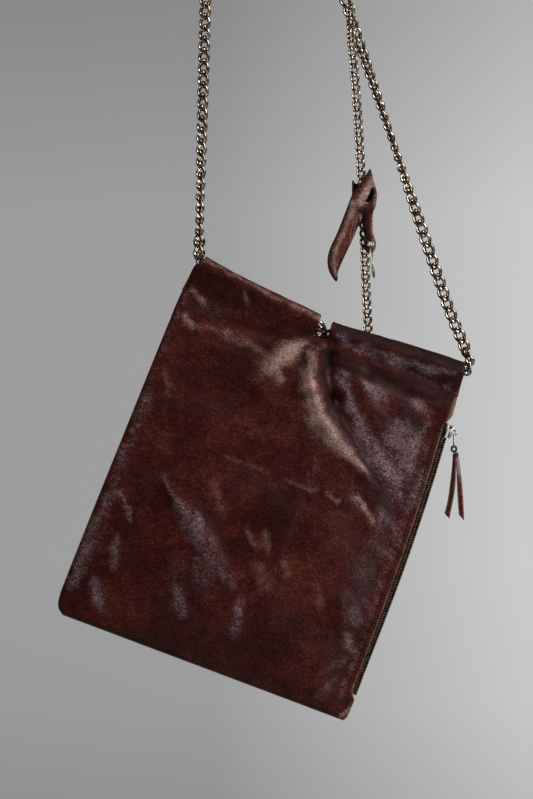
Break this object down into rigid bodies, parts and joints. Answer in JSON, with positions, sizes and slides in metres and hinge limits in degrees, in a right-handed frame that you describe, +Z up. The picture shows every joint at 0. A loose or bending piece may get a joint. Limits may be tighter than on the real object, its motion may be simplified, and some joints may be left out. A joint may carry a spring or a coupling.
{
  "type": "leather shoulder bag with a chain strap",
  "caption": "Flat soft leather shoulder bag hung up by its chain strap, with hem tunnels, a side zip with a lace tassel, and a leather key fob on a thin chain.",
  "frame": {"origin": "where the strap's inside rests on top of the hook or shoulder that holds the bag up", "axes": "+Z up, the bag's front faces -Y, +X to the viewer's right; the bag hangs turned clockwise about Y"},
  "size_m": [0.3672, 0.0457, 0.9321],
  "materials": {
    "leather": "glossy red-brown pull-up leather",
    "chain": "dark plating with worn warm highlights",
    "steel": "bright nickel plate",
    "teeth": "aged brass",
    "tape": "dark woven tape"
  },
  "bodies": {
    "root": {"front_panel": "leather", "back_panel": "leather", "key_fob": "leather", "zip_tassel": "leather", "strap_chain_left": "chain", "strap_chain_right": "chain", "back_hem_chain": "chain", "leash_chain": "chain", "key_ring": "steel", "zip_slider": "steel", "zip_puller": "steel", "zip_teeth": "teeth", "zip_tape_front": "tape", "zip_tape_back": "tape"}
  },
  "joints": []
}
